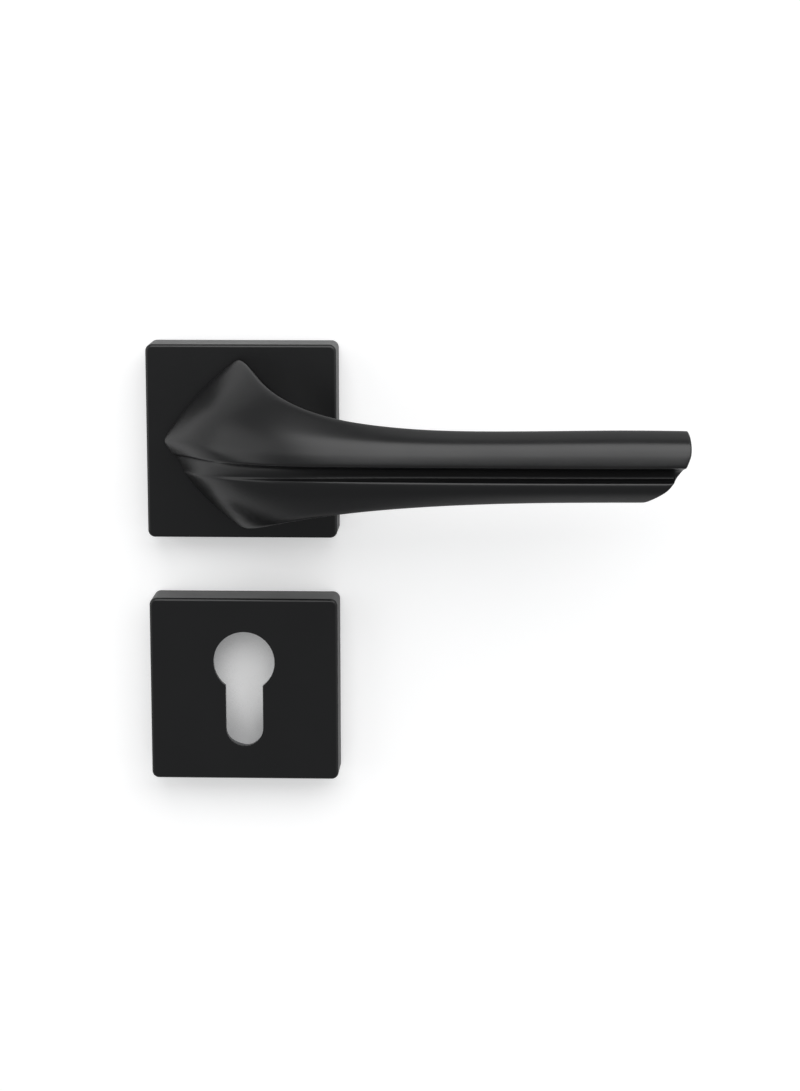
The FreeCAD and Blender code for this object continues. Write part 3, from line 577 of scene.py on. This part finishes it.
sizes = screwValues
boltTail = [(sizes["boltRadius"] - sizes["boltPoint"], sizes["boltEnd"]), (0, sizes["boltEnd"])]
bolt = turnScrew("boltPattern", boltHead, boltTail, sizes["boltRadius"], sizes["boltThreadDepth"],
                 sizes["boltPitch"], sizes["boltThreadStart"], sizes["boltEnd"] - sizes["boltPoint"])
cutRecess(bolt, sizes["boltHeadFront"], *sizes["boltRecess"])
wood = turnScrew("woodPattern", woodHead, [(0, sizes["woodEnd"])], sizes["woodRadius"], sizes["woodThreadDepth"],
                 sizes["woodPitch"], sizes["woodThreadStart"], sizes["woodEnd"] - 0.02, sizes["woodTaper"])
cutRecess(wood, sizes["plateFront"], *sizes["woodRecess"])
for plate, z in (("rose", 0), ("escutcheon", coverValues["escutcheonZ"])):
    boltPlaces = [Matrix.Translation(spot(side * sizes["boltX"], 0, z)) for side in (-1, 1)]
    bolts = placeCopies(plate + "FixingBolts", bolt, boltPlaces)
    finishPiece(bolts, platedSteel, "door_plates", [plate + "_fixing_bolts"])
    offset = sizes["woodOffset"]
    woodPlaces = [Matrix.Translation(spot(side * offset, 0, z - side * offset)) for side in (-1, 1)]
    woods = placeCopies(plate + "WoodScrews", wood, woodPlaces)
    finishPiece(woods, platedSteel, "door_plates", [plate + "_wood_screws"])
bpy.data.objects.remove(bolt)
bpy.data.objects.remove(wood)

# grub screws, turned point first along Y and then laid in their places
grubValues = {
    "leverRadius": 2.0, "leverLength": 8.0, "leverPitch": 0.7, "leverThreadDepth": 0.35, "leverStart": 4.02,
    "leverSocket": (2.0, 3.0), "coverRadius": 1.5, "coverLength": 5.0, "coverPitch": 0.5, "coverThreadDepth": 0.25,
    "coverInset": 0.4, "coverY": -6.2, "coverSocket": (1.5, 2.0),
}
sizes = grubValues
grub = turnScrew("grubPattern", [(0, 0), (1.3, 0), (sizes["leverRadius"], 0.6)],
                 [(1.8, sizes["leverLength"]), (0, sizes["leverLength"])], sizes["leverRadius"],
                 sizes["leverThreadDepth"], sizes["leverPitch"], 0.7, sizes["leverLength"] - 0.2)
cutHexSocket(grub, sizes["leverLength"], *sizes["leverSocket"])
place = Matrix.Translation(spot(sizes["leverStart"], leverValues["grubY"], 0)) @ Matrix.Rotation(-quarterTurn, 4, "Z")
leverGrub = placeCopies("leverGrubScrew", grub, [place])
bpy.data.objects.remove(grub)
finishPiece(leverGrub, blackOxide, "lever", ["lever_grub_screw"])
grub = turnScrew("grubPattern", [(0, 0), (0.9, 0), (sizes["coverRadius"], 0.5)],
                 [(1.35, sizes["coverLength"]), (0, sizes["coverLength"])], sizes["coverRadius"],
                 sizes["coverThreadDepth"], sizes["coverPitch"], 0.6, sizes["coverLength"] - 0.15)
cutHexSocket(grub, sizes["coverLength"], *sizes["coverSocket"])
for plate, z in (("rose", 0), ("escutcheon", coverValues["escutcheonZ"])):
    top = z - coverValues[plate + "Height"] / 2 + sizes["coverInset"] + sizes["coverLength"]
    place = Matrix.Translation(spot(0, sizes["coverY"], top)) @ Matrix.Rotation(-quarterTurn, 4, "X")
    screw = placeCopies(plate + "CoverGrubScrew", grub, [place])
    finishPiece(screw, blackOxide, "door_plates", [plate + "_cover_grub_screw"])
bpy.data.objects.remove(grub)
print("screws made")

# torsion spring: two turns of wire with straight legs

springValues = {
    "wire": 0.4, "coil": 10.2, "rearY": -3.9, "pitch": 0.85, "legX": 2.0, "legTip": 13.8, "wireSteps": 16,
    "stepsPerTurn": 72,
}


def makeSpring():
    v = springValues
    legAngle = math.asin(v["legX"] / v["coil"])
    legZ = math.sqrt(v["coil"] ** 2 - v["legX"] ** 2)
    turns = 2 + legAngle / math.pi
    steps = round(v["stepsPerTurn"] * turns)
    bm = bmesh.new()
    toStart = Matrix.Rotation(quarterTurn - legAngle, 4, Vector((0, -1, 0)))
    place = Matrix.Translation(spot(0, v["rearY"], 0)) @ toStart @ Matrix.Translation(spot(v["coil"], 0, 0))
    bmesh.ops.create_circle(bm, segments=v["wireSteps"], radius=v["wire"] * mm, matrix=place)
    bmesh.ops.spin(bm, geom=bm.verts[:] + bm.edges[:], cent=spot(0, v["rearY"], 0), axis=(0, -1, 0),
                   angle=2 * math.pi * turns, steps=steps, dvec=spot(0, -v["pitch"] * turns / steps, 0),
                   use_merge=False)
    bmesh.ops.holes_fill(bm, edges=[e for e in bm.edges if e.is_boundary], sides=0)
    for x, y in ((v["legX"], v["rearY"]), (-v["legX"], v["rearY"] - v["pitch"] * turns)):
        bmesh.ops.create_uvsphere(bm, u_segments=v["wireSteps"], v_segments=v["wireSteps"] // 2,
                                  radius=v["wire"] * mm, matrix=Matrix.Translation(spot(x, y, legZ)))
        leg = Matrix.Translation(spot(x, y, (v["legTip"] + legZ) / 2))
        addCylinder(bm, v["wire"], v["legTip"] - legZ, leg, v["wireSteps"])
    bmesh.ops.recalc_face_normals(bm, faces=bm.faces)
    return linkObject("returnSpring", bm)


finishPiece(makeSpring(), springSteel, "door_plates", ["return_spring"])
print("spring made")

# CAD nodes carried over as merged copies

carried = {
    "rose_base": ("roseBase", castZinc, "zinc_casting", "door_plates", 0.15),
    "escutcheon_base": ("escutcheonBase", castZinc, "zinc_casting", "door_plates", 0.15),
    "rose_gasket": ("roseGasket", greyFoam, "grey_foam", "door_plates", 0.0),
    "escutcheon_gasket": ("escutcheonGasket", greyFoam, "grey_foam", "door_plates", 0.0),
    "driver_plate": ("driverPlate", platedSteel, "zinc_plated_steel", "lever", 0.12),
    "bearing_bush": ("bearingBush", whiteNylon, "white_nylon", "door_plates", 0.1),
    "neck_ring": ("neckRing", blackNylon, "black_nylon", "door_plates", 0.1),
    "thrust_washer": ("thrustWasher", whiteNylon, "white_nylon", "lever", 0.08),
    "retaining_ring": ("retainingRing", springSteel, "spring_steel", "lever", 0.08),
    "spindle": ("spindle8mm", platedSteel, "zinc_plated_steel", "lever", 0.1),
}
for node, (name, material, slotName, body, bevelWidth) in carried.items():
    finishPiece(mergedCopy(node, name, bevelWidth), material, body, [node])
print("carried nodes made")

# wall, light and camera

wallValues = {
    "y": 0.0002, "halfSize": 2.0, "pale": "#d8d8d8", "paler": "#dbdbdb", "glowInPaintedShade": 0.05, "glowOpen": 0.47,
    "shadeReach": 0.03,
}


def makeWall():
    # matt white board that glows to camera rays only, so it looks whiter to the eye than in reflections; the glow is
    # turned down where the wall is enclosed, which paints shade into deep holes such as the keyhole and at the feet
    # of the plates
    v = wallValues
    bm = bmesh.new()
    bmesh.ops.create_grid(bm, x_segments=1, y_segments=1, size=v["halfSize"],
                          matrix=Matrix.Translation((0, v["y"], 0)) @ Matrix.Rotation(quarterTurn, 4, "X"))
    wall = linkObject("wall", bm)
    material, tree, output, coords = newMaterial("whiteWall")
    side = addNode(tree, "ShaderNodeNewGeometry")
    path = addNode(tree, "ShaderNodeLightPath")
    # painted shade: ambient occlusion turns the camera-only glow down where the wall is enclosed, darkening deep
    # holes and the plates' feet
    openness = addNode(tree, "ShaderNodeAmbientOcclusion", {"samples": 8}, {"Distance": v["shadeReach"]})
    glowWithPaintedShade = addNode(tree, "ShaderNodeMapRange", {},
                  {"From Min": 0.2, "From Max": 0.55, "To Min": v["glowInPaintedShade"], "To Max": v["glowOpen"]},
                  {"Value": openness.outputs["AO"]})
    glow = addNode(tree, "ShaderNodeMath", {"operation": "MULTIPLY"}, {},
                   {0: glowWithPaintedShade.outputs["Result"], 1: path.outputs["Is Camera Ray"]})
    mottle = addNode(tree, "ShaderNodeTexNoise", {}, {"Scale": 30.0, "Detail": 3.0}, {"Vector": coords})
    tone = addNode(tree, "ShaderNodeMix", {"data_type": "RGBA"},
                   {"A": linearColour(v["pale"]), "B": linearColour(v["paler"])}, {"Factor": mottle.outputs["Fac"]})
    matt = addNode(tree, "ShaderNodeBsdfPrincipled", {},
                   {"Roughness": 0.9, "Specular IOR Level": 0.0, "Emission Color": (1, 1, 1, 1)},
                   {"Base Color": tone.outputs["Result"], "Emission Strength": glow.outputs[0]})
    # clear from behind and to shadow rays, so that the backs of the plates show and are lit
    clear = addNode(tree, "ShaderNodeBsdfTransparent")
    either = addNode(tree, "ShaderNodeMath", {"operation": "MAXIMUM"}, {},
                     {0: side.outputs["Backfacing"], 1: path.outputs["Is Shadow Ray"]})
    pick = addNode(tree, "ShaderNodeMixShader", {}, {},
                   {0: either.outputs[0], 1: matt.outputs[0], 2: clear.outputs[0]})
    tree.links.new(pick.outputs[0], output.inputs["Surface"])
    wall.data.materials.append(material)


def addPanel(name, place, target, width, height, power):
    light = bpy.data.lights.new(name, "AREA")
    light.shape = "RECTANGLE"
    light.size, light.size_y = width, height
    light.energy = power
    panel = bpy.data.objects.new(name, light)
    panel.location = place
    panel.rotation_euler = (Vector(target) - Vector(place)).to_track_quat("-Z", "Y").to_euler()
    scene.collection.objects.link(panel)


makeWall()
# place and target in metres, width and height in metres, power in watts
panels = {
    "topPanel": ((0.27, -1.0, 0.90), (0.03, 0, -0.02), 1.6, 1.1, 15.5),
    "leftPanel": ((-1.19, -0.64, 0.30), (0.03, 0, -0.03), 1.2, 1.4, 5.5),
    "rightPanel": ((1.22, -0.69, 0.24), (0.03, 0, -0.03), 1.2, 1.5, 3.0),
    "backPanel": ((0.5, 1.1, 0.6), (0.03, 0, -0.03), 1.4, 1.4, 12.0),
}
for name, panel in panels.items():
    addPanel(name, *panel)
world = bpy.data.worlds.new("paleStudio")
scene.world = world
world.use_nodes = True
sky = world.node_tree.nodes["Background"]
sky.inputs["Color"].default_value = linearColour("#f2f4f6")
sky.inputs["Strength"].default_value = 0.32

# place in mm, turns in degrees, lens and sensor in mm
cameraValues = {"place": (78.6, -807.9, 112.9), "turn": (79.86, 0.09, 2.41), "lens": 94.0, "sensor": 36}
lens = bpy.data.cameras.new("camera")
lens.sensor_width = cameraValues["sensor"]
lens.lens = cameraValues["lens"]
lens.clip_start = 0.01
camera = bpy.data.objects.new("camera", lens)
camera.location = spot(*cameraValues["place"])
camera.rotation_euler = [math.radians(angle) for angle in cameraValues["turn"]]
scene.collection.objects.link(camera)
scene.camera = camera
print("stage made")
